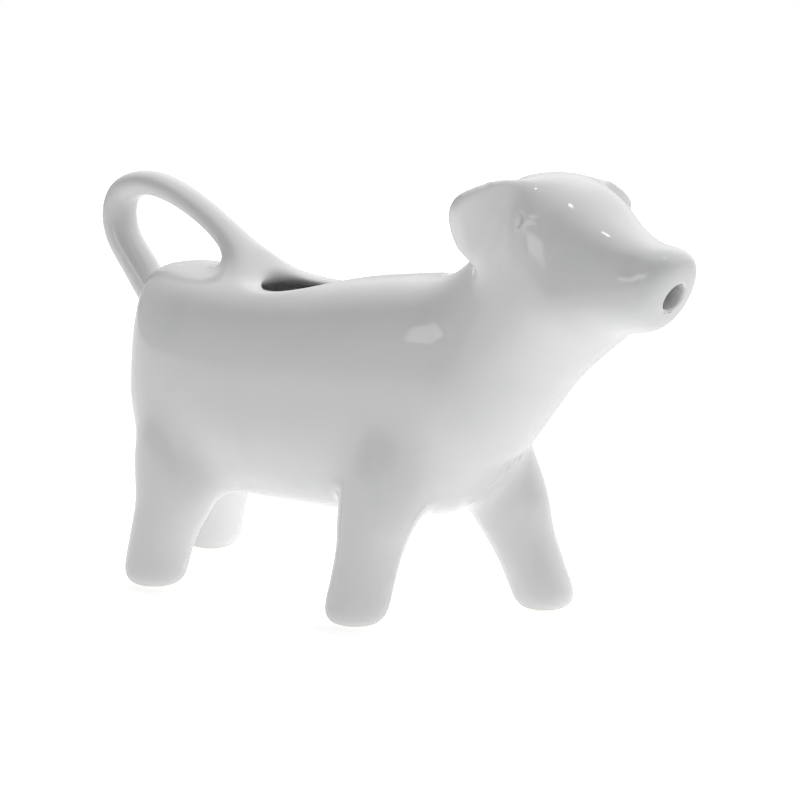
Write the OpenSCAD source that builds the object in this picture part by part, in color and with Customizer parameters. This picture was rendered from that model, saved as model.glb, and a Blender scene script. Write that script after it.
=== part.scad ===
// Cow creamer: a hollow porcelain cow in mid stride, filled through its back, poured through its mouth
// and held by the loop of its tail. Nine castings are luted together with slip where they meet.
// Frame: +X towards the nose, +Y towards the cow's left, +Z up. The origin is on the ground,
// under the middle of the whole creamer.

/* [Wall] */
// Thickness of the fired wall of trunk and head
wall = 3.4; // [2.6:0.2:4.2]

/* [Trunk] */
// Length of the trunk from the rump to the chest
trunk_l = 106; // [100:1:112]
// Width of the barrel
trunk_w = 47.5; // [44:0.5:51]
// Height of the barrel from the belly to the back
trunk_h = 50.7; // [48:0.1:54]
// Height of the belly above the ground
belly_z = 21.3; // [19:0.1:24]
// Place of the rump along the frame
rump_x = -64.4; // [-67.4:0.1:-61.4]

/* [Neck] */
// Height of the neck's joint face
neck_h = 34.3; // [32:0.1:37]
// Width of the neck's joint face
neck_w = 34; // [31:1:37]
// Distance of the middle of the neck's joint behind the chest
neck_reach = 5; // [3:0.5:7]
// Height of the middle of the neck's joint above the belly
neck_rise = 41.1; // [39.5:0.1:42.5]
// Backward lean of the neck's joint face, in degrees
neck_lean = 25; // [19:1:31]

/* [Head] */
// Length of the head from the middle of the neck's joint to the nose
head_l = 46; // [44:0.5:49]
// Width of the head at the eyes
head_w = 34.5; // [32:0.5:37]
// Height of the head from the jaw to the forehead
head_h = 36.5; // [34:0.5:39]
// Height of the jaw above the middle of the neck's joint
jaw_rise = 0.1; // [-1.1:0.1:1.4]
// Diameter of the pouring hole in the mouth
spout_d = 6; // [5:0.1:7]

/* [Filling hole] */
// Length of the filling hole along the back
hole_l = 23.5; // [20:0.5:28]
// Width of the filling hole
hole_w = 18.5; // [15:0.5:21]
// Distance of the middle of the filling hole from the rump
hole_reach = 46.6; // [44:0.1:49]

/* [Ears] */
// Length of an ear from its root inside the head to its tip
ear_l = 22.5; // [20:0.5:25]
// Width of an ear across its leaf
ear_w = 18; // [15:1:20]
// Thickness of an ear
ear_t = 4.6; // [3.6:0.1:5.6]
// Distance between the roots of the two ears
ear_root_span = 16; // [13:1:19]

/* [Legs] */
// Diameter of a front foot
front_foot_d = 14.5; // [12.5:0.5:16.5]
// Diameter of a hind foot
hind_foot_d = 15; // [13:0.5:17]
// Distance between the left and right feet, across the cow
stance_w = 39; // [36:1:42]
// Distance of the hind hips from the rump
hind_hip_reach = 14; // [12:0.5:16]
// Distance from the hind hips to the front hips
hip_span = 69.5; // [65.5:0.5:73.5]
// Distance by which each hind hip moves with its foot
hind_stagger = 6; // [4:0.5:8]
// Forward stride of the left front foot from its hip
left_front_stride = 15; // [10:0.5:18]
// Forward stride of the right front foot from its hip, negative for a foot that trails
right_front_stride = -8; // [-11:0.5:-4]
// Forward stride of the left hind foot from its hip, negative for a foot that trails
left_hind_stride = -13; // [-16:0.5:-9]
// Forward stride of the right hind foot from its hip, negative for a foot that trails
right_hind_stride = -5.5; // [-8.5:0.5:-2.5]

/* [Tail] */
// Thickness of the tail handle
tail_t = 6; // [5:0.5:7]
// Width of the tail handle across the cow
tail_w = 9.5; // [8:0.5:11]
// Length of the handle's loop along the back
loop_l = 47; // [44:1:50]
// Height of the handle's loop above its root
loop_h = 26; // [24:1:29]

/* [Hidden] */

// Number of points round each skin, and of rings laid between two rows of a table
body_sides = 40;
body_steps = 3;
limb_sides = 25;
limb_steps = 2;
// The hollow is laid through every second ring of the skin
hollow_stride = 2;

// Cross sections: fullness above and below the widest line, where 1 is an ellipse and less is squarer,
// and height of the widest line over the middle as a share of the half height
trunk_section_shares = [0.64, 0.98, -0.10];
neck_section_shares = [0.72, 0.98, -0.14];
limb_section_shares = [1, 1, 0];

// Rows from rump to chest: back x and z, belly x and z, half width.
// Shares of the trunk's length, height, length, height and half width.
trunk_shares = [
    [0.015, 0.640, 0.005, 0.420, 0.17],
    [0.021, 0.810, 0.003, 0.260, 0.36],
    [0.035, 0.980, 0.008, 0.110, 0.57],
    [0.084, 1.022, 0.045, 0.030, 0.765],
    [0.160, 1.010, 0.142, -0.004, 0.92],
    [0.290, 1.008, 0.290, -0.014, 0.99],
    [0.480, 1.008, 0.480, -0.014, 1.00],
    [0.630, 1.038, 0.670, -0.008, 0.98],
    [0.743, 1.062, 0.838, 0.048, 0.91],
    [0.820, 1.072, 0.956, 0.275, 0.82]
];

// Rows from the neck to the nose: brow x and z, jaw x and z, half width, cross section.
// Shares of the head's length, height, length, height and half width, and the section's shares.
head_shares = [
    [0.00, 0.620, 0.340, -0.262, 0.94, 0.76, 1.04, -0.20],
    [0.11, 0.882, 0.487, -0.096, 0.98, 0.68, 1.08, -0.30],
    [0.28, 1.008, 0.60, 0.025, 1.00, 0.68, 1.10, -0.38],
    [0.48, 0.930, 0.68, 0.106, 0.85, 0.70, 1.15, -0.38],
    [0.665, 0.745, 0.75, 0.128, 0.67, 0.72, 1.12, -0.28],
    [0.82, 0.643, 0.81, 0.126, 0.56, 0.75, 1.05, -0.15],
    [0.945, 0.618, 0.858, 0.138, 0.52, 0.80, 0.95, -0.05],
    [1.008, 0.565, 0.880, 0.166, 0.45, 0.85, 0.90, 0.00],
    [1.015, 0.490, 0.886, 0.188, 0.30, 0.90, 0.90, 0.00]
];

// Rows from the sole to the hip: height, forward drift, length and width of the section.
// Shares of the hip's height, the lean, the foot's diameter and the foot's diameter.
front_leg_shares = [
    [0.00, 0.06, 0.60, 0.62],
    [0.012, 0.04, 0.78, 0.79],
    [0.036, 0.03, 0.92, 0.93],
    [0.08, 0.06, 1.00, 1.00],
    [0.18, 0.17, 1.00, 1.00],
    [0.33, 0.34, 1.03, 1.03],
    [0.42, 0.45, 1.16, 1.06],
    [0.51, 0.56, 1.38, 1.10],
    [0.65, 0.73, 1.50, 1.17],
    [0.80, 0.88, 1.30, 1.20],
    [1.00, 1.00, 0.90, 0.92]
];
hind_leg_shares = [
    [0.00, 0.04, 0.60, 0.62],
    [0.012, 0.03, 0.78, 0.79],
    [0.036, 0.025, 0.92, 0.93],
    [0.08, 0.05, 1.00, 1.00],
    [0.18, 0.15, 1.00, 1.00],
    [0.33, 0.33, 1.03, 1.03],
    [0.42, 0.45, 1.09, 1.05],
    [0.51, 0.56, 1.28, 1.09],
    [0.65, 0.73, 1.60, 1.13],
    [0.80, 0.88, 1.55, 1.12],
    [1.00, 1.00, 1.00, 0.80]
];

// Rows from an ear's root to its tip: place along the ear, width, thickness and rise of the middle.
// Shares of the ear's length, width, thickness and width.
ear_shares = [
    [0.00, 1.25, 1.10, -0.085],
    [0.35, 1.23, 1.00, -0.070],
    [0.52, 1.12, 0.92, -0.050],
    [0.74, 0.81, 0.80, -0.020],
    [0.88, 0.48, 0.68, 0.00],
    [0.96, 0.27, 0.46, 0.00],
    [1.00, 0.08, 0.16, 0.00]
];
// Bend of the ear's leaf, which dishes its front, as a share of its thickness
ear_dish_share = 0.15;

// Rows of the tail from its root to the filling hole: x and z, thickness and width.
// Shares of the loop's length, the loop's height, the tail's thickness and its width.
tail_shares = [
    [0.03, -0.27, 1.50, 1.20],
    [-0.077, 0.00, 1.36, 1.10],
    [-0.193, 0.25, 1.28, 1.05],
    [-0.297, 0.48, 1.23, 1.05],
    [-0.327, 0.71, 1.19, 1.05],
    [-0.270, 0.915, 1.12, 1.03],
    [-0.105, 0.99, 1.04, 1.00],
    [0.085, 0.918, 0.97, 0.95],
    [0.28, 0.757, 0.94, 0.92],
    [0.415, 0.600, 1.00, 0.97],
    [0.53, 0.427, 1.25, 1.37],
    [0.65, 0.277, 1.42, 2.10],
    [0.79, 0.160, 1.33, 2.63],
    [0.93, 0.060, 1.10, 2.75]
];

// Places that follow from the sizes above
neck_x = rump_x + trunk_l - neck_reach;
neck_z = belly_z + neck_rise;
jaw_z = neck_z + jaw_rise;
hole_x = rump_x + hole_reach;
hip_z_share = 0.50;
hip_z = belly_z + hip_z_share * trunk_h;
hip_y_share = 0.60;
hip_y = hip_y_share * trunk_w / 2;
hind_hip_x = rump_x + hind_hip_reach;
front_hip_x = hind_hip_x + hip_span;
tail_x = rump_x;
tail_z_share = 0.86;
tail_z = belly_z + tail_z_share * trunk_h;
ear_root_x_share = 0.22;
ear_root_x = neck_x + ear_root_x_share * head_l;
ear_root_z_share = 0.768;
ear_root_z = jaw_z + ear_root_z_share * head_h;

// Turns of the ears in degrees: lift of each axis, sweep of each axis towards the nose, roll of the leaf
left_ear_lift = -10;
right_ear_lift = 4;
left_ear_sweep = 1;
right_ear_sweep = -4;
ear_roll = 26;

// Length by which a cut runs past what it cuts
overrun = wall;

// A row of a table at a place between its rows, on a smooth curve through them
function between_rows(rows, place) =
    let (i = min(floor(place), len(rows) - 2))
    let (u = place - i)
    let (before = rows[max(i - 1, 0)])
    let (from = rows[i])
    let (to = rows[i + 1])
    let (after = rows[min(i + 2, len(rows) - 1)])
    from + (u / 2) * ((to - before)
        + u * ((2 * before - 5 * from + 4 * to - after)
        + u * (3 * (from - to) + after - before)));

// All rows of a table with more laid between them
function smooth_rows(rows, steps) =
    [for (k = [0 : steps * (len(rows) - 1)]) between_rows(rows, k / steps)];

// Cosine or sine with its corners filled out
function fuller(value, share) = sign(value) * pow(abs(value), share);

// Closed ring about a middle, with its two half axes as vectors and its section
function ring(centre, across, up, sides, section) =
    [for (k = [0 : sides - 1])
        let (turn = 360 * k / sides)
        let (share = sin(turn) > 0 ? section[0] : section[1])
        let (reach = sin(turn) > 0 ? 1 - section[2] : 1 + section[2])
        let (rise = section[2] + reach * fuller(sin(turn), share))
        centre + fuller(cos(turn), share) * across + rise * up];

// Body ring from a row of back point, belly point, half width and section
function body_ring(row) =
    let (back = [row[0], 0, row[1]])
    let (belly = [row[2], 0, row[3]])
    ring((back + belly) / 2, [0, row[4], 0], (back - belly) / 2, body_sides, [row[5], row[6], row[7]]);

// The same rings moved inwards along their normals
function inset_rings(rings, depth) =
    let (last = len(rings) - 1)
    let (sides = len(rings[0]))
    [for (i = [0 : last])
        [for (k = [0 : sides - 1])
            let (along = rings[min(i + 1, last)][k] - rings[max(i - 1, 0)][k])
            let (round = rings[i][(k + 1) % sides] - rings[i][(k + sides - 1) % sides])
            let (outward = cross(round, along))
            rings[i][k] - depth * outward / norm(outward)]];

// Triangles between neighbouring rings of a skin, whose points start at a given index
function skin_faces(count, sides, start) =
    [for (i = [0 : count - 2])
        for (k = [0 : sides - 1])
            let (a = start + i * sides + k)
            let (b = start + i * sides + (k + 1) % sides)
            each [[a, a + sides, b], [b, a + sides, b + sides]]];

// Triangles that close one ring on a middle point
function cap_faces(sides, start, middle) =
    [for (k = [0 : sides - 1]) [start + k, start + (k + 1) % sides, middle]];

// The same rings in the opposite order, which still face outwards
function reversed(rings) =
    [for (i = [len(rings) - 1 : -1 : 0])
        [for (k = [len(rings[i]) - 1 : -1 : 0]) rings[i][k]]];

// The same faces seen from the other side
function turned(faces) = [for (f = faces) [f[2], f[1], f[0]]];

// Middle of a ring
function middle(ring) = [for (p = ring) 1] * ring / len(ring);

// Solid through a row of rings, closed at both ends
module loft(rings) {
    sides = len(rings[0]);
    last = len(rings) - 1;
    count = sides * len(rings);
    polyhedron(
        concat([for (r = rings) each r], [middle(rings[0]), middle(rings[last])]),
        concat(
            skin_faces(len(rings), sides, 0),
            cap_faces(sides, 0, count),
            turned(cap_faces(sides, last * sides, count + 1))));
}

// Hollow casting between two skins: both are closed at their first ring and joined at their last
module cup(outer, inner) {
    sides = len(outer[0]);
    outer_count = sides * len(outer);
    inner_count = sides * len(inner);
    count = outer_count + inner_count;
    outer_end = outer_count - sides;
    inner_end = count - sides;
    lip = [for (k = [0 : sides - 1])
        let (n = (k + 1) % sides)
        each [[outer_end + k, inner_end + k, outer_end + n],
            [outer_end + n, inner_end + k, inner_end + n]]];
    polyhedron(
        concat([for (r = outer) each r], [for (r = inner) each r],
            [middle(outer[0]), middle(inner[0])]),
        concat(
            skin_faces(len(outer), sides, 0),
            cap_faces(sides, 0, count),
            lip,
            turned(skin_faces(len(inner), sides, outer_count)),
            turned(cap_faces(sides, outer_count, count + 1))));
}

// Body rows in millimetres with their sections, from the rump through the neck's joint to the nose
trunk_rows = [for (s = trunk_shares) [
    rump_x + s[0] * trunk_l, belly_z + s[1] * trunk_h,
    rump_x + s[2] * trunk_l, belly_z + s[3] * trunk_h, s[4] * trunk_w / 2,
    each trunk_section_shares]];
neck_row = [
    neck_x - sin(neck_lean) * neck_h / 2, neck_z + cos(neck_lean) * neck_h / 2,
    neck_x + sin(neck_lean) * neck_h / 2, neck_z - cos(neck_lean) * neck_h / 2, neck_w / 2,
    each neck_section_shares];
head_rows = [for (s = head_shares) [
    neck_x + s[0] * head_l, jaw_z + s[1] * head_h,
    neck_x + s[2] * head_l, jaw_z + s[3] * head_h, s[4] * head_w / 2,
    s[5], s[6], s[7]]];
body_rings = [for (row = smooth_rows(concat(trunk_rows, [neck_row], head_rows), body_steps)) body_ring(row)];
inner_rings = inset_rings(body_rings, wall);
neck_ring = body_steps * len(trunk_rows);
// Ring at which the head's hollow ends, with the nose's last rows left solid round the mouth
nose_rows = 3;
muzzle_ring = len(body_rings) - 1 - nose_rows * body_steps;

trunk_skin = [for (i = [0 : neck_ring]) body_rings[i]];
trunk_hollow = [for (i = [0 : hollow_stride : neck_ring]) inner_rings[i]];
head_skin = reversed([for (i = [neck_ring : len(body_rings) - 1]) body_rings[i]]);
head_hollow = reversed([for (i = [neck_ring : hollow_stride : muzzle_ring]) inner_rings[i]]);

// Mouth: middle and outward direction of the nose's flat face
nose_ring = body_rings[len(body_rings) - 1];
mouth = middle(nose_ring);
nose_row = head_rows[len(head_rows) - 1];
mouth_tilt = atan2(nose_row[0] - nose_row[2], nose_row[1] - nose_row[3]);
mouth_l = norm(mouth - middle(inner_rings[muzzle_ring])) + overrun;

// Egg-shaped outline of the filling hole, blunt towards the tail
hole_egg_share = 0.16;
module filling_hole() {
    translate([hole_x, 0, belly_z + trunk_h / 2])
        linear_extrude(trunk_h)
            polygon([for (k = [0 : body_sides - 1])
                let (turn = 360 * k / body_sides)
                [cos(turn) * hole_l / 2, sin(turn) * (1 - hole_egg_share * cos(turn)) * hole_w / 2]]);
}

// One leg's form from its sole up into the trunk
function leg_rings(shares, foot, hip, foot_d) =
    [for (s = smooth_rows(shares, limb_steps))
        let (height = s[0] * hip[2])
        let (centre = foot + s[1] * (hip - foot))
        ring([centre[0], centre[1], height], [s[2] * foot_d / 2, 0, 0],
            [0, s[3] * foot_d / 2, 0], limb_sides, limb_section_shares)];

module leg(shares, side, hip_x, stride, foot_d) {
    foot = [hip_x + stride, side * stance_w / 2, 0];
    hip = [hip_x, side * hip_y, hip_z];
    color("whitesmoke")
        difference() {
            loft(leg_rings(shares, foot, hip, foot_d));
            loft(trunk_skin);
        }
}

// One ear's form along +Y, dished on the side that faces the nose
ear_rings = [for (s = smooth_rows(ear_shares, limb_steps))
    [for (k = [0 : limb_sides - 1])
        let (turn = 360 * k / limb_sides)
        [sin(turn) * s[2] * ear_t / 2 + cos(turn) * cos(turn) * s[1] * ear_dish_share * ear_t,
            s[0] * ear_l, cos(turn) * s[1] * ear_w / 2 + s[3] * ear_w]]];

module ear(side, lift, sweep) {
    color("whitesmoke")
        difference() {
            mirror([0, side < 0 ? 1 : 0, 0])
                translate([ear_root_x, ear_root_span / 2, ear_root_z])
                    rotate([lift, 0, -sweep])
                        rotate([0, ear_roll, 0])
                            loft(ear_rings);
            loft(head_skin);
        }
}

tail_rings = [for (i = [0 : limb_steps * (len(tail_shares) - 1)])
    let (rows = smooth_rows(tail_shares, limb_steps))
    let (last = len(rows) - 1)
    let (s = rows[i])
    let (ahead = rows[min(i + 1, last)])
    let (behind = rows[max(i - 1, 0)])
    let (run = [(ahead[0] - behind[0]) * loop_l, 0, (ahead[1] - behind[1]) * loop_h])
    let (normal = [-run[2], 0, run[0]] / norm(run))
    ring([tail_x + s[0] * loop_l, 0, tail_z + s[1] * loop_h],
        [0, s[3] * tail_w / 2, 0], normal * s[2] * tail_t / 2, limb_sides, limb_section_shares)];

module trunk_shell() {
    color("white")
        difference() {
            cup(trunk_skin, trunk_hollow);
            filling_hole();
        }
}

module head_shell() {
    color("white")
        difference() {
            cup(head_skin, head_hollow);
            translate(mouth)
                rotate([0, 90 + mouth_tilt, 0])
                    translate([0, 0, -mouth_l])
                        cylinder(d = spout_d, h = mouth_l + overrun, $fn = body_sides);
        }
}

module left_ear() {
    ear(1, left_ear_lift, left_ear_sweep);
}

module right_ear() {
    ear(-1, right_ear_lift, right_ear_sweep);
}

module left_front_leg() {
    leg(front_leg_shares, 1, front_hip_x, left_front_stride, front_foot_d);
}

module right_front_leg() {
    leg(front_leg_shares, -1, front_hip_x, right_front_stride, front_foot_d);
}

module left_hind_leg() {
    leg(hind_leg_shares, 1, hind_hip_x - hind_stagger, left_hind_stride, hind_foot_d);
}

module right_hind_leg() {
    leg(hind_leg_shares, -1, hind_hip_x + hind_stagger, right_hind_stride, hind_foot_d);
}

module tail_handle() {
    color("whitesmoke")
        difference() {
            loft(tail_rings);
            loft(trunk_skin);
            filling_hole();
        }
}

trunk_shell();
head_shell();
left_ear();
right_ear();
left_front_leg();
right_front_leg();
left_hind_leg();
right_hind_leg();
tail_handle();
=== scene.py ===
"""Cow creamer in white glaze: its castings are lofted, luted into one smooth skin and parted again."""

import math

import bmesh
import bpy
import numpy as np
from bpy.props import FloatProperty, FloatVectorProperty, IntProperty, PointerProperty
from mathutils import Matrix, Vector
from mathutils.bvhtree import BVHTree


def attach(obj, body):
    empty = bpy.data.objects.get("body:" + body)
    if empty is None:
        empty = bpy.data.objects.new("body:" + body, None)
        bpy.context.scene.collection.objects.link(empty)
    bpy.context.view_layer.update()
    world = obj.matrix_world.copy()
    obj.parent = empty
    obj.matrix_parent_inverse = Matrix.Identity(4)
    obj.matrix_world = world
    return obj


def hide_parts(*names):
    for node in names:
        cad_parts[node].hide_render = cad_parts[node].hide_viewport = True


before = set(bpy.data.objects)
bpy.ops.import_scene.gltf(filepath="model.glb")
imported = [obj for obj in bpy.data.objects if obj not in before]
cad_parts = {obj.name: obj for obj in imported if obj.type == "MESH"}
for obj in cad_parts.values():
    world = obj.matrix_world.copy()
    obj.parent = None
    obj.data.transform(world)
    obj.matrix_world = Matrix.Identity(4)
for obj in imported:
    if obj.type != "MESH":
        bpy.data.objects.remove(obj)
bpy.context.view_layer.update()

bl_info = {
    "name": "Cow creamer",
    "version": (1, 0, 0),
    "blender": (4, 5, 0),
    "location": "View3D > Sidebar > Creamer",
    "description": "Models a porcelain cow creamer as nine glazed castings",
    "category": "Object",
}

BODY = "root"
GLAZED = "_glazed"
LUTED, INTACT = "luted_body", "intact_skin"
EARS = ("left_ear", "right_ear")
LEFT, RIGHT = 1, -1

# Rows from rump to chest: back x and z, belly x and z, half width, as shares of the trunk's sizes
TRUNK_ROWS = (
    (0.015, 0.640, 0.005, 0.420, 0.17),
    (0.013, 0.870, 0.003, 0.260, 0.36),
    (0.030, 1.000, 0.008, 0.110, 0.57),
    (0.084, 1.022, 0.045, 0.030, 0.765),
    (0.160, 1.010, 0.142, -0.004, 0.92),
    (0.290, 1.008, 0.290, -0.014, 0.99),
    (0.480, 1.008, 0.480, -0.014, 1.00),
    (0.630, 1.038, 0.670, -0.008, 0.98),
    (0.743, 1.062, 0.838, 0.048, 0.91),
    (0.820, 1.072, 0.956, 0.275, 0.82),
)
# Rows from the neck to the nose: brow x and z, jaw x and z, half width, as shares of the head's sizes,
# and then the section, which is explained below
HEAD_ROWS = (
    (0.00, 0.620, 0.340, -0.262, 0.94, 0.76, 1.04, -0.20),
    (0.11, 0.935, 0.487, -0.096, 0.98, 0.68, 1.08, -0.30),
    (0.28, 1.008, 0.60, 0.020, 1.00, 0.68, 1.10, -0.38),
    (0.48, 0.930, 0.68, 0.092, 0.85, 0.70, 1.15, -0.38),
    (0.665, 0.745, 0.75, 0.116, 0.67, 0.72, 1.12, -0.28),
    (0.82, 0.643, 0.81, 0.122, 0.56, 0.75, 1.05, -0.15),
    (0.945, 0.618, 0.858, 0.138, 0.52, 0.80, 0.95, -0.05),
    (1.008, 0.565, 0.880, 0.166, 0.45, 0.85, 0.90, 0.00),
    (1.015, 0.490, 0.886, 0.188, 0.30, 0.90, 0.90, 0.00),
)
# Rows from sole to hip: height and drift as shares of the way, length and width as shares of the foot
FRONT_LEG_ROWS = (
    (0.00, 0.06, 0.60, 0.62),
    (0.012, 0.04, 0.78, 0.79),
    (0.036, 0.03, 0.92, 0.93),
    (0.08, 0.06, 1.00, 1.00),
    (0.18, 0.17, 1.00, 1.00),
    (0.33, 0.34, 1.03, 1.03),
    (0.42, 0.45, 1.16, 1.06),
    (0.51, 0.56, 1.38, 1.10),
    (0.65, 0.73, 1.50, 1.17),
    (0.80, 0.88, 1.42, 1.20),
    (1.00, 1.00, 1.15, 0.92),
)
HIND_LEG_ROWS = (
    (0.00, 0.04, 0.60, 0.62),
    (0.012, 0.03, 0.78, 0.79),
    (0.036, 0.025, 0.92, 0.93),
    (0.08, 0.05, 1.00, 1.00),
    (0.18, 0.15, 1.00, 1.00),
    (0.33, 0.33, 1.03, 1.03),
    (0.42, 0.45, 1.09, 1.05),
    (0.51, 0.56, 1.28, 1.09),
    (0.65, 0.73, 1.60, 1.13),
    (0.80, 0.88, 1.55, 1.12),
    (1.00, 1.00, 1.00, 0.80),
)
# Rows from inside the head to an ear's tip: place, width, thickness and rise of the middle, as shares
EAR_ROWS = (
    (-0.25, 1.42, 1.20, -0.190),
    (0.00, 1.42, 1.15, -0.150),
    (0.35, 1.34, 1.05, -0.120),
    (0.52, 1.16, 0.95, -0.075),
    (0.74, 0.84, 0.82, -0.015),
    (0.88, 0.56, 0.70, 0.050),
    (0.96, 0.36, 0.50, 0.085),
    (1.00, 0.12, 0.20, 0.100),
)
# Rows of the tail from its root to the filling hole: x and z of the loop, thickness and width, as shares
TAIL_ROWS = (
    (0.03, -0.27, 1.50, 1.20),
    (-0.077, 0.00, 1.36, 1.10),
    (-0.193, 0.25, 1.28, 1.05),
    (-0.297, 0.48, 1.23, 1.05),
    (-0.327, 0.71, 1.19, 1.05),
    (-0.270, 0.915, 1.12, 1.03),
    (-0.105, 0.99, 1.04, 1.00),
    (0.085, 0.918, 0.97, 0.95),
    (0.28, 0.757, 0.94, 0.92),
    (0.415, 0.600, 1.00, 0.97),
    (0.53, 0.427, 1.25, 1.37),
    (0.65, 0.277, 1.42, 2.10),
    (0.79, 0.160, 1.33, 2.63),
    (0.93, 0.060, 1.10, 2.75),
)
NOSE_ROWS = 3
ROW_STEPS = 6
BODY_SIDES = 72
LIMB_SIDES = 48
# A section is the fullness above and below a ring's widest line, where 1 is an ellipse and less is
# squarer, and the height of that line over the middle as a share of the half height
TRUNK_SECTION = (0.64, 0.98, -0.10)
NECK_SECTION = (0.72, 0.98, -0.14)
LIMB_SECTION = (1.0, 1.0, 0.0)
LIP_STEPS = 7
SPOUT_REACH_SHARE = 1 / 3
WELD_SHARE = 0.01
WEB_POWER = 4
# Lower half of the neck's ring, stretched so that the throat runs straight
THROAT_SHARE = 1.15
HIP_HEIGHT_SHARE = 0.50
HIP_SPREAD_SHARE = 0.60
TAIL_ROOT_SHARE = 0.86
EAR_ROOT_X_SHARE = 0.22
EAR_ROOT_Z_SHARE = 0.768
EAR_DISH_SHARE = 0.15
EAR_LIFTS = {LEFT: math.radians(-10), RIGHT: math.radians(4)}
EAR_SWEEPS = {LEFT: math.radians(-1), RIGHT: math.radians(4)}
EAR_ROLL = math.radians(26)
HOLE_EGG_SHARE = 0.16
EYE_X_SHARE, EYE_Z_SHARE = 0.358, 0.757
NOSTRIL_X_SHARE, NOSTRIL_Z_SHARE = 0.824, 0.530
# The nail mark of an eye: its bend, the groove's width and where the groove runs out
NAIL_CURVE_SHARE, NAIL_WIDTH_SHARE, NAIL_END_SHARE = 0.75, 0.085, 0.62
# The lid before it: its place and rise from the mark's middle, its length and its width
LID_PLACE_SHARE, LID_RISE_SHARE, LID_LENGTH_SHARE, LID_WIDTH_SHARE = 0.55, 0.1, 0.38, 0.19
DENT_SHARE = 0.42
PRESS_CUTS = 3
# Smoothing: how far one stroke moves a point, and the least weight that counts
STROKE_SHARE, LEAST_WEIGHT = 0.5, 0.01
# Distance within which a parted piece takes its normals from the whole skin
NORMAL_REACH = 0.0001
# Glaze: grains of the pooling and of the waves, and how strongly each shows
POOL_SCALE, POOL_DETAIL, POOL_RANGE, POOL_SHARE = 70.0, 2.0, (0.45, 0.8), 0.35
WAVE_SCALE, WAVE_DETAIL, WAVE_GLOSS, WAVE_STRENGTH = 190.0, 1.0, 0.03, 0.6
SOLE_RANGE = (0.0003, 0.0009)
GLAZE_IOR, GLAZE_ROUGHNESS, CLAY_SPECULAR = 1.5, 0.06, 0.15
WHITE = (1.0, 1.0, 1.0, 1.0)
# Floor: half its side, the run from its lit middle outwards, how much less of the glow the glaze shows,
# what the camera sees besides in the middle and further out, and what the glaze shows further out
FLOOR_HALF = 6.0
LIT_RANGE = (0.06, 0.40)
GLOW_LOSS = 0.6
MIDDLE_SEEN, FAR_SEEN, FAR_SHOWN = 0.1, 0.6, 0.2
# World: runs of the overhead light, of the wall behind and of the wall's height, and how much of the
# wall the glaze shows
OVERHEAD_RANGE, BEHIND_RANGE, WALL_RANGE = (0.25, 1.0), (-0.5, 0.3), (0.2, 0.9)
WALL_SHOWN = 0.5
# Place and size of each softbox
SOFTBOXES = {
    "top_box": ((0.24, 0.12, 0.81), (0.08, 0.06)),
    "side_box": ((-0.08, -0.74, 0.36), (0.40, 0.20)),
}
SENSOR_WIDTH = 36.0
UP = Vector((0, 0, 1))


def length(name, description, default, **more):
    """A size in metres for the sidebar"""
    return FloatProperty(name=name, description=description, default=default, subtype="DISTANCE",
                         unit="LENGTH", precision=5, **more)


def share(name, description, default):
    """A value from nothing to all for the sidebar"""
    return FloatProperty(name=name, description=description, default=default, min=0.0, max=1.0,
                         subtype="FACTOR")


def colour(name, description, default):
    """A colour for the sidebar"""
    return FloatVectorProperty(name=name, description=description, default=default, subtype="COLOR",
                               min=0.0, max=1.0)


def watts(name, description, default):
    """A lamp's power for the sidebar"""
    return FloatProperty(name=name, description=description, default=default, min=0.0, subtype="POWER",
                         unit="POWER")


def level(name, description, default):
    """Strength of a light that fills a surface or the room, for the sidebar"""
    return FloatProperty(name=name, description=description, default=default, min=0.0)


def strokes(name, description, default):
    """A number of smoothing strokes for the sidebar"""
    return IntProperty(name=name, description=description, default=default, min=0)


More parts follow.
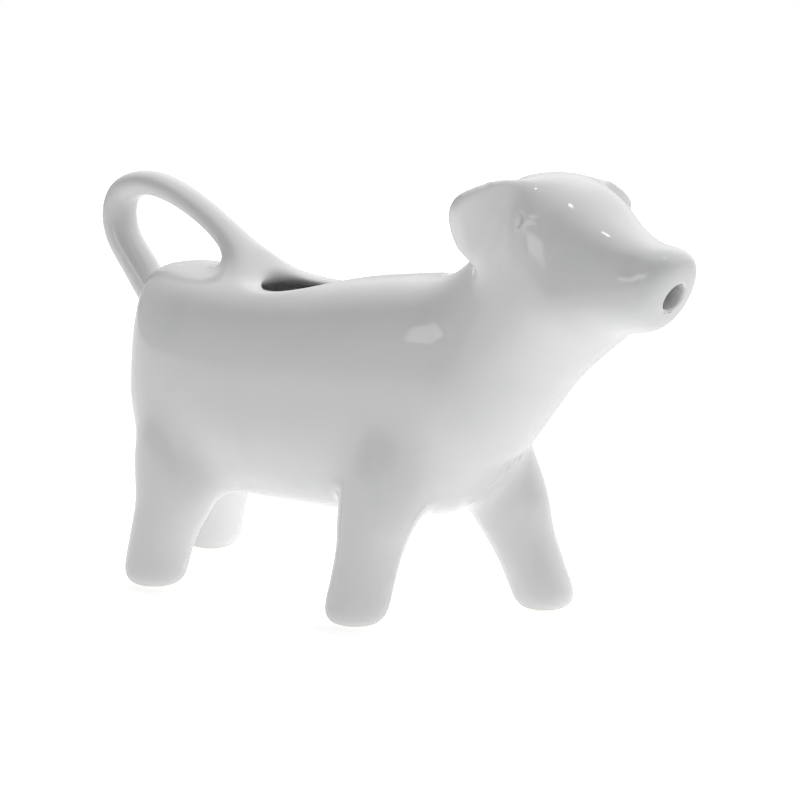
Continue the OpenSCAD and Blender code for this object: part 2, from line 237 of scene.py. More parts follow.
class CreamerSizes(bpy.types.PropertyGroup):
    """Sizes of the castings"""

    wall: length("Wall", "Thickness of the fired wall", 0.0034)
    trunk_length: length("Trunk length", "From the rump to the chest", 0.106)
    trunk_width: length("Trunk width", "Width of the barrel", 0.0475)
    trunk_height: length("Trunk height", "From the belly to the back", 0.0507)
    belly_height: length("Belly height", "Belly above the ground", 0.0213)
    rump_place: length("Rump place", "Place of the rump along the frame", -0.0644)
    neck_height: length("Neck height", "Height of the neck's joint face", 0.0343)
    neck_width: length("Neck width", "Width of the neck's joint face", 0.034)
    neck_setback: length("Neck setback", "Neck's joint behind the chest", 0.005)
    neck_rise: length("Neck rise", "Neck's joint above the belly", 0.0411)
    neck_lean: FloatProperty(name="Neck lean", description="Backward lean of the neck's joint face",
                             default=math.radians(25), subtype="ANGLE", unit="ROTATION")
    head_length: length("Head length", "From the neck's joint to the nose", 0.046)
    head_width: length("Head width", "Width at the eyes", 0.0345)
    head_height: length("Head height", "From the jaw to the forehead", 0.0365)
    jaw_rise: length("Jaw rise", "Jaw above the middle of the neck's joint", 0.0001)
    spout_width: length("Spout width", "Diameter of the pouring hole", 0.006)
    hole_length: length("Hole length", "Filling hole along the back", 0.0235)
    hole_width: length("Hole width", "Filling hole across the back", 0.0185)
    hole_reach: length("Hole reach", "Middle of the filling hole from the rump", 0.0466)
    ear_length: length("Ear length", "From the root inside the head to the tip", 0.0225)
    ear_width: length("Ear width", "Width across the leaf", 0.018)
    ear_thickness: length("Ear thickness", "Thickness of the leaf", 0.0046)
    ear_root_span: length("Ear root span", "Distance between the two roots", 0.016)
    front_foot: length("Front foot", "Diameter of a front foot", 0.0145)
    hind_foot: length("Hind foot", "Diameter of a hind foot", 0.015)
    stance_width: length("Stance width", "Between the left and right feet", 0.039)
    hind_hip_reach: length("Hind hip reach", "Hind hips from the rump", 0.014)
    hip_span: length("Hip span", "From the hind hips to the front hips", 0.0695)
    hind_stagger: length("Hind stagger", "Shift of each hind hip with its foot", 0.006)
    left_front_stride: length("Left front stride", "Forward step of the foot from its hip", 0.015)
    right_front_stride: length("Right front stride", "Forward step of the foot from its hip", -0.008)
    left_hind_stride: length("Left hind stride", "Forward step of the foot from its hip", -0.013)
    right_hind_stride: length("Right hind stride", "Forward step of the foot from its hip", -0.0055)
    eye_length: length("Eye length", "Height of the nail mark that is the eye", 0.0036)
    eye_depth: length("Eye depth", "Depth of the nail mark", 0.0006)
    lid_height: length("Lid height", "Rise of the clay pushed up before the eye", 0.0004)
    nostril_width: length("Nostril width", "Diameter of the dent that is a nostril", 0.0048)
    nostril_depth: length("Nostril depth", "Depth of a nostril's dent", 0.0005)
    front_web: length("Front web", "Web of clay behind the stepping front leg", 0.0014)
    hind_web: length("Hind web", "Web of clay before the right hind leg", 0.0026)
    lip_radius: length("Lip radius", "Rounding of the mouth's rim", 0.0007)
    tail_thickness: length("Tail thickness", "Thickness of the handle", 0.006)
    tail_width: length("Tail width", "Width of the handle across the cow", 0.0095)
    loop_length: length("Loop length", "Length of the handle's loop", 0.047)
    loop_height: length("Loop height", "Height of the handle's loop above its root", 0.026)


class CreamerLuting(bpy.types.PropertyGroup):
    """How the castings run together under slip and glaze"""

    grain: length("Grain", "Size of the faces of the luted skin", 0.0007)
    slip_reach: length("Slip reach", "Distance from a joint over which slip rounds it", 0.009)
    ear_slip_reach: length("Ear slip reach", "Distance from an ear's root over which slip rounds it", 0.005)
    ear_slip_passes: strokes("Ear slip passes", "Strokes that round the ears' roots", 44)
    slip_passes: strokes("Slip passes", "Strokes that round the joints", 200)
    rim_reach: length("Rim reach", "Distance from the filling hole over which its rim is rounded", 0.0026)
    rim_passes: strokes("Rim passes", "Strokes that round the filling hole's rim", 30)
    skin_passes: strokes("Skin passes", "Strokes that smooth the whole skin", 10)
    rim_dip: length("Rim dip", "Depth to which the filling hole's rim is pressed down", 0.0018)
    dip_reach: length("Dip reach", "Reach round the filling hole over which the back is pressed down", 0.0065)
    press_reach: length("Press reach", "Reach round an eye or nostril over which the clay is worked", 0.0045)
    press_passes: strokes("Press passes", "Strokes that smooth the worked clay", 8)
    seat_depth: length("Seat depth", "Depth of a seat below the skin that carries it", 0.0016)
    seat_margin: length("Seat margin", "Width of slip that stays with a limb round its seat", 0.003)
    leg_margin: length("Leg margin", "Width of slip that stays with a leg round its seat", 0.0055)


class CreamerGlaze(bpy.types.PropertyGroup):
    """Look of the glaze"""

    white: colour("White", "Porcelain under clear glaze", (0.86, 0.86, 0.86))
    pool: colour("Pool", "Glaze that has pooled in a hollow", (0.76, 0.785, 0.79))
    bisque: colour("Bisque", "Unglazed sole", (0.80, 0.77, 0.72))
    gloss: share("Gloss roughness", "Roughness of the glaze", 0.10)
    matt: share("Sole roughness", "Roughness of an unglazed sole", 0.75)
    wave: length("Wave", "Depth of the glaze's waviness", 0.00004)


class CreamerStage(bpy.types.PropertyGroup):
    """Floor, light and camera"""

    floor: colour("Floor", "Colour of the floor", (0.92, 0.92, 0.92))
    glow: level("Glow", "Light from beneath, through the floor", 0.43)
    overhead: level("Overhead", "Light from high up, leaning as set below", 1.52)
    sides: level("Sides", "Light from the dim sides of the room", 0.03)
    lean_back: share("Lean back", "Lean of the overhead light away from the camera", 0.50)
    lean_right: share("Lean right", "Lean of the overhead light to the camera's right", 0.38)
    top_box: watts("Top softbox", "Power of the small softbox overhead", 0.12)
    side_box: watts("Side softbox", "Power of the softbox to the left of the camera", 0.42)
    lens: FloatProperty(name="Lens", description="Focal length", default=124.2, subtype="DISTANCE_CAMERA",
                        unit="CAMERA")
    eye: FloatVectorProperty(name="Eye", description="Place of the camera",
                             default=(0.3945, -0.4609, 0.1419), subtype="TRANSLATION", unit="LENGTH")
    aim: FloatVectorProperty(name="Aim", description="Point that the camera looks at",
                             default=(0.01358, -0.00691, 0.048), subtype="TRANSLATION", unit="LENGTH")


def smooth_rows(rows, steps):
    """Rows of a table with more laid between them on a smooth curve"""
    rows = np.array(rows)
    last = len(rows) - 1
    places = np.linspace(0, last, steps * last + 1)
    i = np.minimum(places.astype(int), last - 1)
    u = (places - i)[:, None]
    before, here = rows[np.maximum(i - 1, 0)], rows[i]
    there, after = rows[i + 1], rows[np.minimum(i + 2, last)]
    bend = 2 * before - 5 * here + 4 * there - after + u * (3 * (here - there) + after - before)
    return here + u / 2 * (there - before + u * bend)


def ring(centre, across, up, section=LIMB_SECTION):
    """Map of the unit circle to an oval with two half axes, and its section"""
    across, up = Vector(across), Vector(up)
    rim = Matrix((across, up, across.cross(up).normalized())).transposed().to_4x4()
    rim.translation = Vector(centre)
    return rim, section


def fuller(value, fullness):
    """A cosine or sine with its corners filled out"""
    return math.copysign(abs(value) ** fullness, value)


def reseat(verts, before, after):
    """Moves points from one ring to the next, where a ring is an oval with its section"""
    (oval, (above, below, line)), (next_oval, (next_above, next_below, next_line)) = before, after
    back = oval.inverted()
    for v in verts:
        unit = back @ v.co
        top = unit.y > line
        rise = (unit.y - line) / (1 - line if top else 1 + line)
        power = next_above / above if top else next_below / below
        rise = fuller(rise, power) * (1 - next_line if top else 1 + next_line)
        v.co = next_oval @ Vector((fuller(unit.x, power), next_line + rise, 0.0))


def loft(rings, sides):
    """A bmesh skin through a row of rings, closed at both ends"""
    bm = bmesh.new()
    bmesh.ops.create_circle(bm, cap_ends=True, radius=1.0, segments=sides)
    reseat(bm.verts, (Matrix.Identity(4), LIMB_SECTION), rings[0])
    edges = bm.edges[:]
    for before, after in zip(rings, rings[1:]):
        made = bmesh.ops.extrude_edge_only(bm, edges=edges)["geom"]
        edges = [g for g in made if isinstance(g, bmesh.types.BMEdge) and g.is_boundary]
        reseat([g for g in made if isinstance(g, bmesh.types.BMVert)], before, after)
    bmesh.ops.contextual_create(bm, geom=edges)
    bmesh.ops.recalc_face_normals(bm, faces=bm.faces)
    return bm


def grown(bm, reach):
    """The same bmesh with its skin moved outwards, or inwards for a negative reach"""
    bm.normal_update()
    for v, normal in [(v, v.normal.copy()) for v in bm.verts]:
        v.co += reach * normal
    return bm


def as_object(name, bm):
    """An object made of a bmesh, which is used up"""
    mesh = bpy.data.meshes.new(name)
    bm.to_mesh(mesh)
    bm.free()
    obj = bpy.data.objects.new(name, mesh)
    bpy.context.scene.collection.objects.link(obj)
    return obj


def twin(obj, name):
    """A copy of an object with a mesh of its own"""
    copy = bpy.data.objects.new(name, obj.data.copy())
    bpy.context.scene.collection.objects.link(copy)
    return copy


def discard(*objs):
    """Removes objects that have served"""
    for obj in objs:
        mesh = obj.data
        bpy.data.objects.remove(obj)
        bpy.data.meshes.remove(mesh)


def settle(obj):
    """Makes the outcome of an object's modifiers its own mesh"""
    seen = obj.evaluated_get(bpy.context.evaluated_depsgraph_get())
    mesh = bpy.data.meshes.new_from_object(seen)
    old = obj.data
    obj.modifiers.clear()
    obj.data = mesh
    bpy.data.meshes.remove(old)
    if not mesh.polygons:
        raise RuntimeError(f"{obj.name} came out empty")
    return obj


def carve(obj, tool, operation):
    """Cuts one solid with another"""
    cut = obj.modifiers.new("carve", "BOOLEAN")
    cut.operation, cut.solver, cut.object = operation, "MANIFOLD", tool
    return settle(obj)


def regrain(obj, grain):
    """Lays an even skin of small faces over a solid"""
    remesh = obj.modifiers.new("regrain", "REMESH")
    remesh.mode, remesh.voxel_size, remesh.use_smooth_shade = "VOXEL", grain, True
    return settle(obj)


def stroke(obj, passes, weights=None):
    """Smooths a skin, by the weights of its points where they are given"""
    smooth = obj.modifiers.new("stroke", "SMOOTH")
    smooth.factor, smooth.iterations = STROKE_SHARE, passes
    if weights is not None:
        group = obj.vertex_groups.new(name="stroke")
        for i in np.flatnonzero(weights > LEAST_WEIGHT):
            group.add([int(i)], float(weights[i]), "REPLACE")
        smooth.vertex_group = group.name
    settle(obj)
    obj.vertex_groups.clear()
    return obj


def fade(distance, reach):
    """One at no distance, nothing at the reach, with a smooth run between"""
    t = np.clip(1 - np.asarray(distance) / reach, 0, 1)
    return t * t * (3 - 2 * t)


def points(obj):
    """Places of an object's vertices"""
    flat = np.empty(3 * len(obj.data.vertices))
    obj.data.vertices.foreach_get("co", flat)
    return flat.reshape(-1, 3)


def distances(places, obj, reach):
    """Distance of each place from an object's skin, or the reach where it is further"""
    bm = bmesh.new()
    bm.from_mesh(obj.data)
    tree = BVHTree.FromBMesh(bm)
    bm.free()
    low, high = points(obj).min(0) - reach, points(obj).max(0) + reach
    found = np.full(len(places), reach)
    for i in np.flatnonzero(np.all((places > low) & (places < high), axis=1)):
        hit = tree.find_nearest(places[i], reach)
        if hit[0] is not None:
            found[i] = hit[3]
    return found


class Forms:
    """Places and forms of the castings before they are luted"""

    def __init__(self, sizes):
        self.sizes = s = sizes
        self.neck_x = s.rump_place + s.trunk_length - s.neck_setback
        self.neck_z = s.belly_height + s.neck_rise
        self.jaw_z = self.neck_z + s.jaw_rise
        self.hip_z = s.belly_height + HIP_HEIGHT_SHARE * s.trunk_height
        self.hind_hip = s.rump_place + s.hind_hip_reach
        self.front_hip = self.hind_hip + s.hip_span
        self.tail_z = s.belly_height + TAIL_ROOT_SHARE * s.trunk_height

    def body_rings(self):
        """Rings of the skin from rump to nose"""
        s = self.sizes
        lean = Vector((math.sin(s.neck_lean), math.cos(s.neck_lean))) * s.neck_height / 2
        rows = [(s.rump_place + a * s.trunk_length, s.belly_height + b * s.trunk_height,
                 s.rump_place + c * s.trunk_length, s.belly_height + d * s.trunk_height,
                 e * s.trunk_width / 2, *TRUNK_SECTION) for a, b, c, d, e in TRUNK_ROWS]
        rows.append((self.neck_x - lean.x, self.neck_z + lean.y, self.neck_x + THROAT_SHARE * lean.x,
                     self.neck_z - THROAT_SHARE * lean.y, s.neck_width / 2, *NECK_SECTION))
        rows += [(self.neck_x + a * s.head_length, self.jaw_z + b * s.head_height,
                  self.neck_x + c * s.head_length, self.jaw_z + d * s.head_height, e * s.head_width / 2,
                  *section) for a, b, c, d, e, *section in HEAD_ROWS]
        rings = []
        for back_x, back_z, belly_x, belly_z, half, *section in smooth_rows(rows, ROW_STEPS):
            back, belly = Vector((back_x, 0, back_z)), Vector((belly_x, 0, belly_z))
            rings.append(ring((back + belly) / 2, (0, half, 0), (back - belly) / 2, section))
        return rings

    def skin(self, inset=0.0):
        """Trunk, neck and head in one, or what lies deeper in them than an inset"""
        return as_object("skin", grown(loft(self.body_rings(), BODY_SIDES), -inset))

    def hollow(self):
        """The room inside the wall, which ends behind the nose"""
        rings = self.body_rings()[:-NOSE_ROWS * ROW_STEPS]
        return as_object("hollow", grown(loft(rings, BODY_SIDES), -self.sizes.wall))

    def hole(self):
        """The egg-shaped tool that cuts the filling hole"""
        s = self.sizes
        bm = bmesh.new()
        bmesh.ops.create_circle(bm, cap_ends=True, radius=1.0, segments=BODY_SIDES)
        for v in bm.verts:
            v.co.y *= 1 - HOLE_EGG_SHARE * v.co.x
        place = Matrix.Translation((s.rump_place + s.hole_reach, 0, s.belly_height + s.trunk_height / 2))
        oval = Matrix.Diagonal((s.hole_length / 2, s.hole_width / 2, 1, 1))
        bmesh.ops.transform(bm, matrix=place @ oval, verts=bm.verts)
        made = bmesh.ops.extrude_face_region(bm, geom=bm.faces[:])["geom"]
        top = [g for g in made if isinstance(g, bmesh.types.BMVert)]
        bmesh.ops.translate(bm, vec=(0, 0, s.trunk_height), verts=top)
        bmesh.ops.recalc_face_normals(bm, faces=bm.faces)
        return as_object("hole", bm)

    def spout(self):
        """The tool that bores the pouring hole and flares its rim"""
        s = self.sizes
        a, b, c, d = HEAD_ROWS[-1][:4]
        top = Vector((self.neck_x + a * s.head_length, 0, self.jaw_z + b * s.head_height))
        low = Vector((self.neck_x + c * s.head_length, 0, self.jaw_z + d * s.head_height))
        outward = Vector((0, 1, 0)).cross(top - low).normalized()
        reach, bore, lip = SPOUT_REACH_SHARE * s.head_length, s.spout_width / 2, s.lip_radius
        turns = np.linspace(0, math.pi / 2, LIP_STEPS)
        outline = [(0, -reach), (bore, -reach)]
        outline += [(bore + lip * (1 - math.cos(t)), lip * (math.sin(t) - 1)) for t in turns]
        outline += [(bore + lip, lip), (0, lip)]
        bm = bmesh.new()
        verts = [bm.verts.new((x, 0, z)) for x, z in outline]
        edges = [bm.edges.new(pair) for pair in zip(verts, verts[1:])]
        bmesh.ops.spin(bm, geom=verts + edges, axis=UP, angle=math.tau, steps=BODY_SIDES, use_merge=True)
        bmesh.ops.remove_doubles(bm, verts=bm.verts, dist=WELD_SHARE * lip)
        bmesh.ops.recalc_face_normals(bm, faces=bm.faces)
        place = Matrix.Translation((top + low) / 2) @ outward.to_track_quat("Z", "Y").to_matrix().to_4x4()
        bmesh.ops.transform(bm, matrix=place, verts=bm.verts)
        return as_object("spout", bm)

    def leg(self, rows, foot, side, hip_x, stride, web=0.0):
        """A leg from sole to hip, with a web of clay before it, or behind it for a negative web"""
        s = self.sizes
        sole = Vector((hip_x + stride, side * s.stance_width / 2, 0))
        hip = Vector((hip_x, side * HIP_SPREAD_SHARE * s.trunk_width / 2, self.hip_z))
        rings = []
        for height, drift, long, wide in smooth_rows(rows, ROW_STEPS):
            centre = sole.lerp(hip, drift)
            centre.z = height * self.hip_z
            spread = web * math.sin(math.pi * height) ** WEB_POWER
            centre.x += spread
            rings.append(ring(centre, (long * foot / 2 + abs(spread), 0, 0), (0, wide * foot / 2, 0)))
        return loft(rings, LIMB_SIDES)

    def legs(self):
        """The four legs, each hind hip shifted with its foot"""
        s = self.sizes
        front, hind = (FRONT_LEG_ROWS, s.front_foot), (HIND_LEG_ROWS, s.hind_foot)
        left_hip, right_hip = self.hind_hip - s.hind_stagger, self.hind_hip + s.hind_stagger
        return {
            "left_front_leg": self.leg(*front, LEFT, self.front_hip, s.left_front_stride, -s.front_web),
            "right_front_leg": self.leg(*front, RIGHT, self.front_hip, s.right_front_stride),
            "left_hind_leg": self.leg(*hind, LEFT, left_hip, s.left_hind_stride),
            "right_hind_leg": self.leg(*hind, RIGHT, right_hip, s.right_hind_stride, s.hind_web),
        }

    def ear(self, side):
        """A dished leaf, set on the left side of the head and mirrored for the right"""
        s = self.sizes
        rings = [ring((0, at * s.ear_length, rise * s.ear_width), (0, 0, wide * s.ear_width / 2),
                      (thick * s.ear_thickness / 2, 0, 0))
                 for at, wide, thick, rise in smooth_rows(EAR_ROWS, ROW_STEPS)]
        bm = loft(rings, LIMB_SIDES)
        for v in bm.verts:
            v.co.x += EAR_DISH_SHARE * s.ear_thickness * (2 * v.co.z / s.ear_width) ** 2
        root = Vector((self.neck_x + EAR_ROOT_X_SHARE * s.head_length, s.ear_root_span / 2,
                       self.jaw_z + EAR_ROOT_Z_SHARE * s.head_height))
        turn = Matrix.Rotation(EAR_SWEEPS[side], 4, "Z") @ Matrix.Rotation(EAR_LIFTS[side], 4, "X")
        turn = turn @ Matrix.Rotation(EAR_ROLL, 4, "Y")
        bmesh.ops.transform(bm, matrix=Matrix.Translation(root) @ turn, verts=bm.verts)
        if side == RIGHT:
            bmesh.ops.scale(bm, vec=(1, -1, 1), verts=bm.verts)
        bmesh.ops.recalc_face_normals(bm, faces=bm.faces)
        return bm

    def ears(self):
        """The two ears, which hang at different heights"""
        return dict(zip(EARS, (self.ear(LEFT), self.ear(RIGHT))))

    def tail(self):
        """The looped tail, thick at its root and spread out where it meets the filling hole"""
        s = self.sizes
        rows = smooth_rows(TAIL_ROWS, ROW_STEPS)
        runs = np.gradient(rows, axis=0)
        rings = []
        for (x, z, thick, wide), run in zip(rows, runs):
            normal = Vector((-run[1] * s.loop_height, 0, run[0] * s.loop_length)).normalized()
            centre = (s.rump_place + x * s.loop_length, 0, self.tail_z + z * s.loop_height)
            up = normal * thick * s.tail_thickness / 2
            rings.append(ring(centre, (0, wide * s.tail_width / 2, 0), up))
        return {"tail_handle": loft(rings, LIMB_SIDES)}

    def nail_mark(self, ahead, rise):
        """Height of the clay round an eye: a crescent groove with a small lid before it"""
        s = self.sizes
        bend = NAIL_CURVE_SHARE * s.eye_length
        off = math.hypot(ahead + bend, rise) - bend
        groove = math.exp(-(off / (NAIL_WIDTH_SHARE * s.eye_length)) ** 2)
        groove *= float(fade(abs(rise), NAIL_END_SHARE * s.eye_length))
        lid = ((ahead / s.eye_length - LID_PLACE_SHARE) / LID_LENGTH_SHARE,
               (rise / s.eye_length - LID_RISE_SHARE) / LID_WIDTH_SHARE)
        return s.lid_height * math.exp(-lid[0] ** 2 - lid[1] ** 2) - s.eye_depth * groove

    def dent(self, ahead, rise):
        """Height of the clay round a nostril: a shallow round dent"""
        s = self.sizes
        return -s.nostril_depth * math.exp(-(ahead ** 2 + rise ** 2) / (DENT_SHARE * s.nostril_width) ** 2)

    def face_marks(self):
        """Place on the head and form of each mark that is pressed into its two sides"""
        s = self.sizes
        return [(self.neck_x + x * s.head_length, self.jaw_z + z * s.head_height, form) for x, z, form in (
            (EYE_X_SHARE, EYE_Z_SHARE, self.nail_mark), (NOSTRIL_X_SHARE, NOSTRIL_Z_SHARE, self.dent))]


def dip_rim(body, hole, luting):
    """Presses the back down round the filling hole"""
    places = points(body)
    places[:, 2] -= luting.rim_dip * fade(distances(places, hole, luting.dip_reach), luting.dip_reach)
    body.data.vertices.foreach_set("co", places.ravel())


def turned_to(bm, middle, outward, reach):
    """Points of a skin near a place and on its side"""
    return [v for v in bm.verts if (v.co - middle).length < reach and v.normal.dot(outward) > 0]


def press_face(body, forms, luting):
    """Works the eyes and nostrils into the clay, on a finer grain than the rest of the skin"""
    bm = bmesh.new()
    bm.from_mesh(body.data)
    for x, z, form in forms.face_marks():
        for side in (LEFT, RIGHT):
            tree = BVHTree.FromBMesh(bm)
            start = Vector((x, side * forms.sizes.head_width, z))
            middle, outward, _, _ = tree.ray_cast(start, Vector((0, -side, 0)))
            ahead = (Vector((1, 0, 0)) - outward.x * outward).normalized()
            rise = -side * outward.cross(ahead)
            coarse = set(turned_to(bm, middle, outward, luting.press_reach))
            edges = [e for e in bm.edges if coarse.issuperset(e.verts)]
            bmesh.ops.subdivide_edges(bm, edges=edges, cuts=PRESS_CUTS, use_grid_fill=True)
            bm.normal_update()
            worked = turned_to(bm, middle, outward, luting.press_reach)
            for _ in range(luting.press_passes):
                bmesh.ops.smooth_vert(bm, verts=worked, factor=STROKE_SHARE, use_axis_x=True,
                                      use_axis_y=True, use_axis_z=True)
            bm.normal_update()
            for v, normal in [(v, v.normal.copy()) for v in worked]:
                off = v.co - middle
                v.co += form(off.dot(ahead), off.dot(rise)) * normal
    bmesh.ops.recalc_face_normals(bm, faces=bm.faces)
    bm.to_mesh(body.data)
    bm.free()


def lute(forms, luting):
    """Joins all castings into one hollow skin with rounded joints and rims"""
    skin, hollow, hole, spout = forms.skin(), forms.hollow(), forms.hole(), forms.spout()
    limbs = [as_object(name, bm) for name, bm in {**forms.legs(), **forms.ears(), **forms.tail()}.items()]
    bm = bmesh.new()
    for form in (skin, *limbs):
        bm.from_mesh(form.data)
    body = regrain(as_object(LUTED, bm), luting.grain)
    places = points(body)
    from_skin = distances(places, skin, luting.slip_reach)
    slip, ear_slip = np.zeros((2, len(places)))
    for limb in limbs:
        off = np.maximum(from_skin, distances(places, limb, luting.slip_reach))
        if limb.name in EARS:
            ear_slip = np.maximum(ear_slip, fade(off, luting.ear_slip_reach))
        else:
            slip = np.maximum(slip, fade(off, luting.slip_reach))
    stroke(body, luting.ear_slip_passes, ear_slip)
    stroke(body, luting.slip_passes, slip)
    dip_rim(body, hole, luting)
    for tool in (hollow, hole):
        carve(body, tool, "DIFFERENCE")
    regrain(body, luting.grain)
    stroke(body, luting.rim_passes, fade(distances(points(body), hole, luting.rim_reach), luting.rim_reach))
    stroke(body, luting.skin_passes)
    press_face(body, forms, luting)
    carve(body, spout, "DIFFERENCE")
    twin(body, INTACT)
    discard(skin, hollow, hole, spout, *limbs)


def part_off(name, region):
    """Takes what lies in a region off the luted body as a piece of its own"""
    body = bpy.data.objects[LUTED]
    piece = carve(twin(body, name), region, "INTERSECT")
    carve(body, region, "DIFFERENCE")
    discard(region)
    return finish_piece(piece)


def part_limbs(limbs, forms, luting, margin):
    """Parts limbs off the body along seats that lie a little below its skin"""
    core = forms.skin(luting.seat_depth)
    for name, bm in limbs.items():
        region = as_object("region", grown(bm, margin))
        part_off(name + GLAZED, carve(region, core, "DIFFERENCE"))
    discard(core)


def finish_piece(piece):
    """Gives a piece the whole skin's normals, the glaze, and its place in the frame"""
    mesh = piece.data
    mesh.polygons.foreach_set("use_smooth", [True] * len(mesh.polygons))
    shine = piece.modifiers.new("skin_normals", "DATA_TRANSFER")
    shine.object = bpy.data.objects[INTACT]
    shine.use_loop_data = True
    shine.data_types_loops = {"CUSTOM_NORMAL"}
    shine.loop_mapping = "POLYINTERP_NEAREST"
    shine.use_max_distance, shine.max_distance = True, NORMAL_REACH
    settle(piece)
    piece.data.materials.clear()
    piece.data.materials.append(glaze_material())
    piece.data.name = piece.name
    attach(piece, BODY)
    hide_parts(piece.name.removesuffix(GLAZED))
    return piece


class Wire:
    """A shader socket that takes part in Python sums"""

    def __init__(self, socket):
        self.socket = socket

    def node(self, kind, settings=(), inputs=(), output=0):
        """A new node of this wire's tree, with its settings made before its sockets are filled"""
        made = self.socket.id_data.nodes.new(kind)
        for key, value in dict(settings).items():
            setattr(made, key, value)
        for key, value in dict(inputs).items():
            if isinstance(value, Wire):
                made.id_data.links.new(value.socket, made.inputs[key])
            else:
                made.inputs[key].default_value = value
        return Wire(made.outputs[output]) if made.outputs else made

    def sum(self, operation, first, second):
        """Outcome of a sum of two values"""
        return self.node("ShaderNodeMath", {"operation": operation}, {0: first, 1: second})

    def __add__(self, other):
        return self.sum("ADD", self, other)

    def __radd__(self, other):
        return self.sum("ADD", other, self)

    def __sub__(self, other):
        return self.sum("SUBTRACT", self, other)

    def __rsub__(self, other):
        return self.sum("SUBTRACT", other, self)

    def __mul__(self, other):
        return self.sum("MULTIPLY", self, other)

    def __rmul__(self, other):
        return self.sum("MULTIPLY", other, self)

    def ramp(self, low, high):
        """This value run from nothing at low to one at high, smoothly"""
        return self.node("ShaderNodeMapRange", {"interpolation_type": "SMOOTHSTEP"},
                         {"Value": self, "From Min": low, "From Max": high})

    def blend(self, first, second):
        """First colour where this value is nothing, second where it is one"""
        return self.node("ShaderNodeMix", {"data_type": "RGBA"},
                         {"Factor": self, "A": first, "B": second}, 2)


def rgba(value):
    """A colour with full alpha"""
    return (*value, 1.0)


def start_tree(tree):
    """Clears a node tree and returns a wire from which its nodes are made"""
    tree.nodes.clear()
    return Wire(tree.nodes.new("ShaderNodeTexCoord").outputs["Object"])


def glaze_material():
    """Clear glaze over white porcelain, with pooled glaze, faint waves and bare soles"""
    name = "porcelain_glaze"
    if name in bpy.data.materials:
        return bpy.data.materials[name]
    look = bpy.context.scene.creamer_glaze
    material = bpy.data.materials.new(name)
    material.use_nodes = True
    place = start_tree(material.node_tree)
    height = place.node("ShaderNodeSeparateXYZ", inputs={"Vector": place}, output=2)
    slow = place.node("ShaderNodeTexNoise", inputs={
        "Vector": place, "Scale": POOL_SCALE, "Detail": POOL_DETAIL})
    waves = place.node("ShaderNodeTexNoise", inputs={
        "Vector": place, "Scale": WAVE_SCALE, "Detail": WAVE_DETAIL})
    sole = 1 - height.ramp(*SOLE_RANGE)
    pooled = slow.ramp(*POOL_RANGE) * POOL_SHARE
    tint = pooled.blend(rgba(look.white), rgba(look.pool))
    tint = sole.blend(tint, rgba(look.bisque))
    gloss = look.gloss + WAVE_GLOSS * waves + sole * (look.matt - look.gloss)
    bump = place.node("ShaderNodeBump", inputs={
        "Height": waves, "Distance": look.wave, "Strength": WAVE_STRENGTH})
    shader = place.node("ShaderNodeBsdfPrincipled", inputs={
        "Base Color": tint, "Roughness": gloss, "Normal": bump, "IOR": GLAZE_IOR,
        "Specular IOR Level": CLAY_SPECULAR, "Coat Weight": 1 - sole, "Coat Roughness": GLAZE_ROUGHNESS,
        "Coat IOR": GLAZE_IOR})
    place.node("ShaderNodeOutputMaterial", inputs={"Surface": shader})
    return material


class CREAMER_OT_lute(bpy.types.Operator):
    """Lute all castings into one hollow skin"""

    bl_idname = "creamer.lute"
    bl_label = "Lute the castings"

    def execute(self, context):
        lute(Forms(context.scene.creamer_sizes), context.scene.creamer_luting)
        return {"FINISHED"}


class CREAMER_OT_legs(bpy.types.Operator):
    """Part the four legs off the luted skin"""

    bl_idname = "creamer.legs"
    bl_label = "Legs"

    def execute(self, context):
        forms, luting = Forms(context.scene.creamer_sizes), context.scene.creamer_luting
        part_limbs(forms.legs(), forms, luting, luting.leg_margin)
        return {"FINISHED"}


class CREAMER_OT_ears(bpy.types.Operator):
    """Part the two ears off the luted skin"""

    bl_idname = "creamer.ears"
    bl_label = "Ears"

    def execute(self, context):
        forms, luting = Forms(context.scene.creamer_sizes), context.scene.creamer_luting
        part_limbs(forms.ears(), forms, luting, luting.seat_margin)
        return {"FINISHED"}


class CREAMER_OT_tail(bpy.types.Operator):
    """Part the looped tail off the luted skin"""

    bl_idname = "creamer.tail"
    bl_label = "Tail handle"

    def execute(self, context):
        forms, luting = Forms(context.scene.creamer_sizes), context.scene.creamer_luting
        part_limbs(forms.tail(), forms, luting, luting.seat_margin)
        return {"FINISHED"}


class CREAMER_OT_head(bpy.types.Operator):
    """Part the head off the luted skin along the neck's joint face"""

    bl_idname = "creamer.head"
    bl_label = "Head"

    def execute(self, context):
        sizes = context.scene.creamer_sizes
        forms = Forms(sizes)
        side = 2 * sizes.trunk_length
        bm = bmesh.new()
        bmesh.ops.create_cube(bm, size=side)
        bmesh.ops.translate(bm, vec=(side / 2, 0, 0), verts=bm.verts)
        bmesh.ops.rotate(bm, matrix=Matrix.Rotation(-sizes.neck_lean, 3, "Y"), verts=bm.verts)
        bmesh.ops.translate(bm, vec=(forms.neck_x, 0, forms.neck_z), verts=bm.verts)
        part_off("head_shell" + GLAZED, as_object("region", bm))
        return {"FINISHED"}


class CREAMER_OT_trunk(bpy.types.Operator):
    """Finish what is left of the luted skin as the trunk"""

    bl_idname = "creamer.trunk"
    bl_label = "Trunk"

    def execute(self, context):
        trunk = bpy.data.objects[LUTED]
        trunk.name = "trunk_shell" + GLAZED
        finish_piece(trunk)
        discard(bpy.data.objects[INTACT])
        return {"FINISHED"}


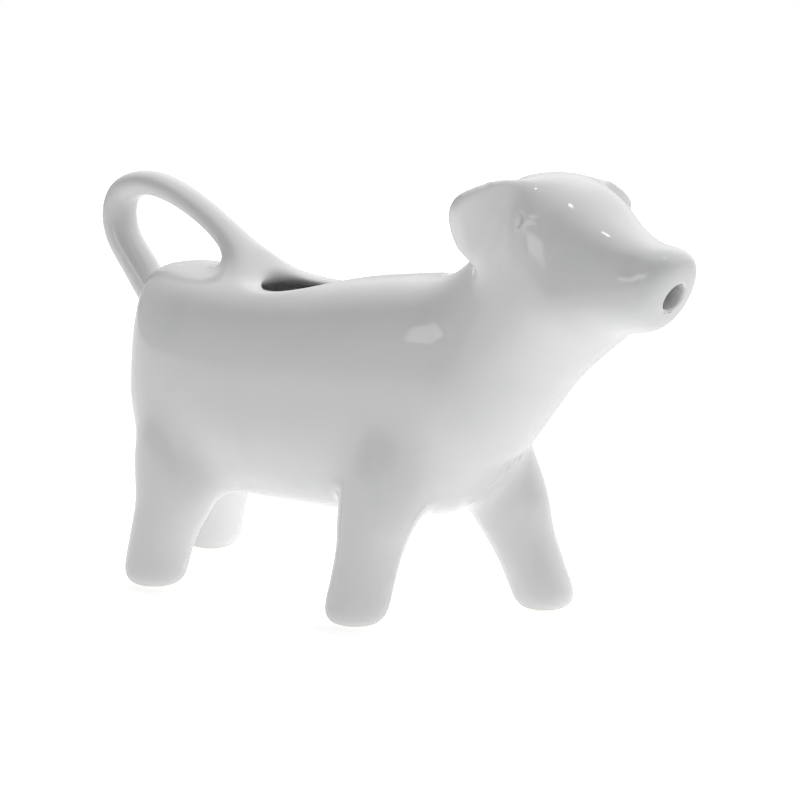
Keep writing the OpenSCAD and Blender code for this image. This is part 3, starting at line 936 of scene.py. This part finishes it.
class CREAMER_OT_stage(bpy.types.Operator):
    """Set the floor, the light and the camera"""

    bl_idname = "creamer.stage"
    bl_label = "Stage"

    def execute(self, context):
        scene, look = context.scene, context.scene.creamer_stage
        scene.view_settings.view_transform = "Standard"
        bm = bmesh.new()
        bmesh.ops.create_grid(bm, x_segments=1, y_segments=1, size=FLOOR_HALF)
        floor = as_object("floor", bm)
        floor.data.materials.append(floor_material(look))
        light_world(scene, look)
        add_softboxes(look)
        camera = bpy.data.objects.new("camera", bpy.data.cameras.new("camera"))
        scene.collection.objects.link(camera)
        camera.data.lens, camera.data.sensor_width = look.lens, SENSOR_WIDTH
        camera.location = look.eye
        camera.rotation_euler = (Vector(look.aim) - Vector(look.eye)).to_track_quat("-Z", "Y").to_euler()
        scene.camera = camera
        return {"FINISHED"}


def rays(wire, *kinds):
    """Wires that are one for rays of these kinds and nothing for others"""
    path = wire.node("ShaderNodeLightPath").socket.node
    return [Wire(path.outputs[kind]) for kind in kinds]


def along(way, axis):
    """How far a direction points along an axis"""
    return way.node("ShaderNodeVectorMath", {"operation": "DOT_PRODUCT"}, {0: way, 1: axis}, 1)


def floor_material(look):
    """A pale light table that glows round the object, and shows white to the camera further out"""
    material = bpy.data.materials.new("pale_floor")
    material.use_nodes = True
    place = start_tree(material.node_tree)
    diffuse = place.node("ShaderNodeBsdfDiffuse", inputs={"Color": rgba(look.floor)})
    away = place.node("ShaderNodeVectorMath", {"operation": "LENGTH"}, {0: place}, 1).ramp(*LIT_RANGE)
    camera, gloss = rays(place, "Is Camera Ray", "Is Glossy Ray")
    near = look.glow * (1 - away) * (1 - GLOW_LOSS * gloss)
    strength = near + (MIDDLE_SEEN + FAR_SEEN * away) * camera + FAR_SHOWN * away * gloss
    glow = place.node("ShaderNodeEmission", inputs={"Color": WHITE, "Strength": strength})
    both = place.node("ShaderNodeAddShader", inputs={0: diffuse, 1: glow})
    place.node("ShaderNodeOutputMaterial", inputs={"Surface": both})
    return material


def light_world(scene, look):
    """A soft light overhead in a dim room, with a white wall behind that shows in the glaze"""
    scene.world = bpy.data.worlds.new("surround")
    scene.world.use_nodes = True
    wire = start_tree(scene.world.node_tree)
    way = Wire(wire.socket.node.outputs["Generated"])
    towards = (Vector(look.eye) - Vector(look.aim)).normalized()
    right = UP.cross(towards).normalized()
    zenith = (UP - look.lean_back * towards + look.lean_right * right).normalized()
    lit = look.sides + (look.overhead - look.sides) * along(way, zenith).ramp(*OVERHEAD_RANGE)
    camera, *shiny = rays(wire, "Is Camera Ray", "Is Glossy Ray", "Is Transmission Ray")
    gloss = wire.sum("MAXIMUM", *shiny)
    behind, low = 1 - along(way, towards).ramp(*BEHIND_RANGE), 1 - along(way, UP).ramp(*WALL_RANGE)
    wall = wire.sum("MAXIMUM", camera, WALL_SHOWN * gloss * wire.sum("MAXIMUM", behind, low))
    strength = lit * (1 - wall) + wall
    back = wire.node("ShaderNodeBackground", inputs={"Color": WHITE, "Strength": strength})
    wire.node("ShaderNodeOutputWorld", inputs={"Surface": back})


def add_softboxes(look):
    """Two softboxes, which give the glaze its small lights"""
    for name, (place, size) in SOFTBOXES.items():
        box = bpy.data.objects.new(name, bpy.data.lights.new(name, "AREA"))
        bpy.context.scene.collection.objects.link(box)
        box.data.shape = "RECTANGLE"
        box.data.size, box.data.size_y = size
        box.data.energy = getattr(look, name)
        box.location = place
        box.rotation_euler = (Vector(look.aim) - box.location).to_track_quat("-Z", "Y").to_euler()


STEPS = (CREAMER_OT_lute, CREAMER_OT_legs, CREAMER_OT_ears, CREAMER_OT_tail, CREAMER_OT_head,
         CREAMER_OT_trunk, CREAMER_OT_stage)
GROUPS = {"creamer_sizes": CreamerSizes, "creamer_luting": CreamerLuting, "creamer_glaze": CreamerGlaze,
          "creamer_stage": CreamerStage}


class CREAMER_PT_sidebar(bpy.types.Panel):
    """Lists the creamer's steps"""

    bl_idname = "CREAMER_PT_sidebar"
    bl_label = "Cow creamer"
    bl_space_type = "VIEW_3D"
    bl_region_type = "UI"
    bl_category = "Creamer"

    def draw(self, context):
        for step in STEPS:
            self.layout.operator(step.bl_idname)
        for group in GROUPS:
            box = self.layout.box()
            settings = getattr(context.scene, group)
            for name in settings.__annotations__:
                box.prop(settings, name)


CLASSES = (*GROUPS.values(), *STEPS, CREAMER_PT_sidebar)


def register():
    for cls in CLASSES:
        bpy.utils.register_class(cls)
    for name, group in GROUPS.items():
        setattr(bpy.types.Scene, name, PointerProperty(type=group))


def unregister():
    for name in GROUPS:
        delattr(bpy.types.Scene, name)
    for cls in reversed(CLASSES):
        bpy.utils.unregister_class(cls)


def main():
    register()
    for step in STEPS:
        group, action = step.bl_idname.split(".")
        getattr(getattr(bpy.ops, group), action)()


if __name__ == "__main__":
    main()
